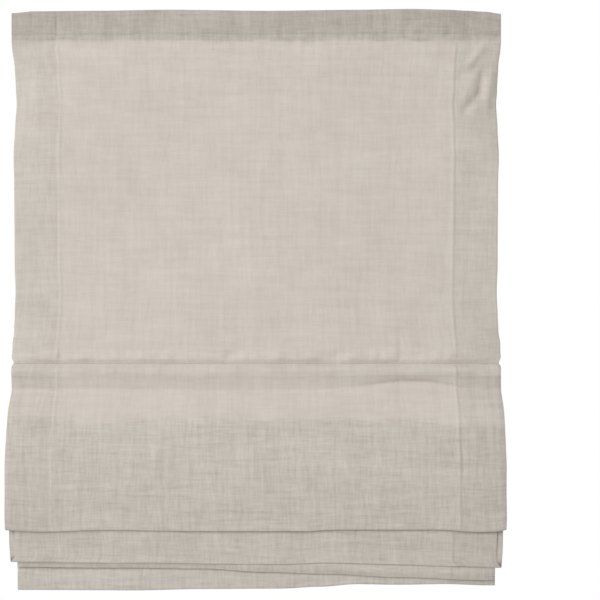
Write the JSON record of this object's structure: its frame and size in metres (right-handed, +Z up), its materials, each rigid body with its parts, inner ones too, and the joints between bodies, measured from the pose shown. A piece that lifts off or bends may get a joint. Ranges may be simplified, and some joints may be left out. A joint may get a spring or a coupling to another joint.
{
  "type": "roman blind",
  "caption": "Plain linen roman blind, partly raised, with rods in sewn tucks, rings for lift cords, a weighted hem and a loop tape heading.",
  "frame": {"origin": "middle of the heading tape's fastening face", "axes": "+X across the window, +Y from the room towards the window, +Z up"},
  "size_m": [0.58, 0.0552, 0.684],
  "materials": {
    "linen": "plain woven natural linen, matt",
    "loop_tape": "brushed loop pile on a woven tape",
    "rod_glassfibre": "drawn glass fibre, satin",
    "ring_plastic": "moulded, smooth",
    "bar_steel": "rolled flat bar"
  },
  "bodies": {
    "root": {"blind_cloth": "linen", "heading_tape": "loop_tape", "bottom_bar": "bar_steel", "rod_1": "rod_glassfibre", "ring_1_left": "ring_plastic", "ring_1_middle": "ring_plastic", "ring_1_right": "ring_plastic", "rod_2": "rod_glassfibre", "ring_2_left": "ring_plastic", "ring_2_middle": "ring_plastic", "ring_2_right": "ring_plastic", "rod_3": "rod_glassfibre", "ring_3_left": "ring_plastic", "ring_3_middle": "ring_plastic", "ring_3_right": "ring_plastic", "rod_4": "rod_glassfibre", "ring_4_left": "ring_plastic", "ring_4_middle": "ring_plastic", "ring_4_right": "ring_plastic"}
  },
  "joints": []
}
